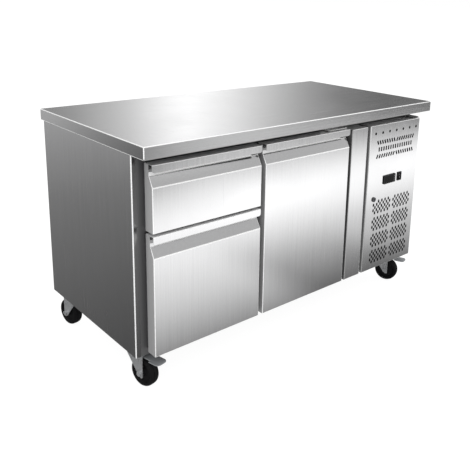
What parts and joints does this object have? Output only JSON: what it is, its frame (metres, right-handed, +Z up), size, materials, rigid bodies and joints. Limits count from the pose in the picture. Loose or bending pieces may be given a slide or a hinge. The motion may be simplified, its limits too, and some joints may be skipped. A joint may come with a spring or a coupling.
{
  "type": "refrigerated counter",
  "caption": "Stainless refrigerated work counter on castors, with stacked drawers at the left, a hinged door, a fixed filler panel and a perforated service panel over the machinery.",
  "frame": {"origin": "on the floor, under the middle of the worktop", "axes": "+X from the drawers to the machine bay, left to right as seen from the front; +Y from front to back; +Z up"},
  "size_m": [1.36, 0.7, 0.83],
  "materials": {
    "worktop_steel": "fine brushed grain along X, satin",
    "body_steel": "fine brushed grain, upright, satin",
    "front_steel": "fine brushed grain, upright, satin",
    "liner_steel": "bright annealed, smooth",
    "zinc_steel": "zinc plated, satin",
    "bracket_steel": "white coat, satin",
    "shelf_coating": "grey coated wire",
    "tray_metal": "galvanised, dull",
    "coil_aluminium": "fins, dull",
    "compressor_coat": "black coat, satin",
    "fan_plastic": "black, matt",
    "copper": "drawn tube, dull",
    "box_plastic": "light grey, matt",
    "cover_plastic": "white, matt",
    "gasket_rubber": "dark grey, matt",
    "insulation": "foam, matt",
    "control_plastic": "black, glossy",
    "button_plastic": "black, matt",
    "switch_plastic": "black, glossy",
    "lock_metal": "dark, satin",
    "wheel_rubber": "black, matt",
    "pedal_coat": "grey coat, satin"
  },
  "bodies": {
    "cabinet": {"worktop": "worktop_steel", "worktop_core": "insulation", "left_side_panel": "body_steel", "right_side_panel": "body_steel", "back_panel": "body_steel", "base_panel": "body_steel", "bay_partition": "body_steel", "cabinet_foam": "insulation", "inner_liner": "liner_steel", "front_frame": "front_steel", "filler_panel": "front_steel", "hinge_brackets": "bracket_steel", "inner_rack": "liner_steel", "wire_shelf": "shelf_coating", "castor_plates": "zinc_steel", "machine_tray": "tray_metal", "compressor": "compressor_coat", "condenser_coil": "coil_aluminium", "condenser_fan_mount": "compressor_coat", "refrigerant_pipes": "copper", "electrical_box": "box_plastic", "evaporator_coil": "coil_aluminium", "evaporator_cover": "cover_plastic", "power_inlet": "button_plastic"},
    "service_panel": {"service_panel": "front_steel", "temperature_controller": "control_plastic", "switch_case": "switch_plastic"},
    "set_button": {"set_button": "button_plastic"},
    "up_button": {"up_button": "button_plastic"},
    "down_button": {"down_button": "button_plastic"},
    "power_rocker": {"power_rocker": "switch_plastic"},
    "lock_barrel": {"lock_barrel": "lock_metal"},
    "condenser_fan": {"condenser_fan": "fan_plastic"},
    "evaporator_fan": {"evaporator_fan": "fan_plastic"},
    "door": {"door_skin": "front_steel", "door_liner": "liner_steel", "door_foam": "insulation", "door_gasket": "gasket_rubber"},
    "upper_drawer": {"upper_drawer_skin": "front_steel", "upper_drawer_liner": "liner_steel", "upper_drawer_foam": "insulation", "upper_drawer_gasket": "gasket_rubber", "upper_drawer_box": "liner_steel"},
    "upper_rails": {"upper_middle_rails": "zinc_steel"},
    "lower_drawer": {"lower_drawer_skin": "front_steel", "lower_drawer_liner": "liner_steel", "lower_drawer_foam": "insulation", "lower_drawer_gasket": "gasket_rubber", "lower_drawer_box": "liner_steel"},
    "lower_rails": {"lower_middle_rails": "zinc_steel"},
    "front_left_fork": {"front_left_fork": "zinc_steel"},
    "front_left_wheel": {"front_left_wheel": "wheel_rubber"},
    "front_right_fork": {"front_right_fork": "zinc_steel"},
    "front_right_wheel": {"front_right_wheel": "wheel_rubber"},
    "rear_left_fork": {"rear_left_fork": "zinc_steel"},
    "rear_left_wheel": {"rear_left_wheel": "wheel_rubber"},
    "rear_right_fork": {"rear_right_fork": "zinc_steel"},
    "rear_right_wheel": {"rear_right_wheel": "wheel_rubber"},
    "left_brake_pedal": {"left_brake_pedal": "pedal_coat"},
    "right_brake_pedal": {"right_brake_pedal": "pedal_coat"}
  },
  "joints": [
    {"name": "door_hinge", "type": "hinge", "parent": "cabinet", "child": "door", "pos_m": [0.194, -0.292, 0.4555], "axis": [0, 0, 1], "range_deg": [0, 105]},
    {"name": "upper_drawer_slide", "type": "slide", "parent": "cabinet", "child": "upper_drawer", "axis": [0, -1, 0], "range_m": [0, 0.45]},
    {"name": "upper_rails_slide", "type": "slide", "parent": "cabinet", "child": "upper_rails", "axis": [0, -1, 0], "range_m": [0, 0.225]},
    {"name": "lower_drawer_slide", "type": "slide", "parent": "cabinet", "child": "lower_drawer", "axis": [0, -1, 0], "range_m": [0, 0.45]},
    {"name": "lower_rails_slide", "type": "slide", "parent": "cabinet", "child": "lower_rails", "axis": [0, -1, 0], "range_m": [0, 0.225]},
    {"name": "service_panel_hinge", "type": "hinge", "parent": "cabinet", "child": "service_panel", "pos_m": [0.643, -0.303, 0.453], "axis": [0, 0, 1], "range_deg": [0, 100]},
    {"name": "lock_turn", "type": "hinge", "parent": "service_panel", "child": "lock_barrel", "pos_m": [0.386, -0.3, 0.453], "axis": [0, 1, 0], "range_deg": [0, 90]},
    {"name": "power_rocker_tilt", "type": "hinge", "parent": "service_panel", "child": "power_rocker", "pos_m": [0.543, -0.314, 0.525], "axis": [1, 0, 0], "range_deg": [0, 16]},
    {"name": "set_button_press", "type": "slide", "parent": "service_panel", "child": "set_button", "axis": [0, 1, 0], "range_m": [0, 0.001], "stiffness_N_per_m": 400},
    {"name": "up_button_press", "type": "slide", "parent": "service_panel", "child": "up_button", "axis": [0, 1, 0], "range_m": [0, 0.001], "stiffness_N_per_m": 400},
    {"name": "down_button_press", "type": "slide", "parent": "service_panel", "child": "down_button", "axis": [0, 1, 0], "range_m": [0, 0.001], "stiffness_N_per_m": 400},
    {"name": "condenser_fan_spin", "type": "hinge", "parent": "cabinet", "child": "condenser_fan", "pos_m": [0.5, -0.129, 0.2632], "axis": [0, 1, 0], "continuous": true},
    {"name": "evaporator_fan_spin", "type": "hinge", "parent": "cabinet", "child": "evaporator_fan", "pos_m": [0.213, 0.04, 0.651], "axis": [1, 0, 0], "continuous": true},
    {"name": "front_left_swivel", "type": "hinge", "parent": "cabinet", "child": "front_left_fork", "pos_m": [-0.624, -0.192, 0.116], "axis": [0, 0, 1], "continuous": true},
    {"name": "front_left_roll", "type": "hinge", "parent": "front_left_fork", "child": "front_left_wheel", "pos_m": [-0.61735, -0.2233, 0.05], "axis": [0.9781, 0.2079, 0], "continuous": true},
    {"name": "front_right_swivel", "type": "hinge", "parent": "cabinet", "child": "front_right_fork", "pos_m": [0.624, -0.192, 0.116], "axis": [0, 0, 1], "continuous": true},
    {"name": "front_right_roll", "type": "hinge", "parent": "front_right_fork", "child": "front_right_wheel", "pos_m": [0.63494, -0.22207, 0.05], "axis": [0.9397, 0.342, 0], "continuous": true},
    {"name": "rear_left_swivel", "type": "hinge", "parent": "cabinet", "child": "rear_left_fork", "pos_m": [-0.624, 0.264, 0.116], "axis": [0, 0, 1], "continuous": true},
    {"name": "rear_left_roll", "type": "hinge", "parent": "rear_left_fork", "child": "rear_left_wheel", "pos_m": [-0.62901, 0.29561, 0.05], "axis": [-0.9877, -0.1564, 0], "continuous": true},
    {"name": "rear_right_swivel", "type": "hinge", "parent": "cabinet", "child": "rear_right_fork", "pos_m": [0.624, 0.264, 0.116], "axis": [0, 0, 1], "continuous": true},
    {"name": "rear_right_roll", "type": "hinge", "parent": "rear_right_fork", "child": "rear_right_wheel", "pos_m": [0.62845, 0.29569, 0.05], "axis": [-0.9903, 0.1392, 0], "continuous": true},
    {"name": "left_brake_press", "type": "hinge", "parent": "front_left_fork", "child": "left_brake_pedal", "pos_m": [-0.62026, -0.20961, 0.105], "axis": [0.9781, 0.2079, 0], "range_deg": [0, 10]},
    {"name": "right_brake_press", "type": "hinge", "parent": "front_right_fork", "child": "right_brake_pedal", "pos_m": [0.63016, -0.20891, 0.105], "axis": [0.9397, 0.342, 0], "range_deg": [0, 10]}
  ],
  "couplings": [
    {"joint": "upper_rails_slide", "follows": "upper_drawer_slide", "ratio": 0.5},
    {"joint": "lower_rails_slide", "follows": "lower_drawer_slide", "ratio": 0.5}
  ]
}
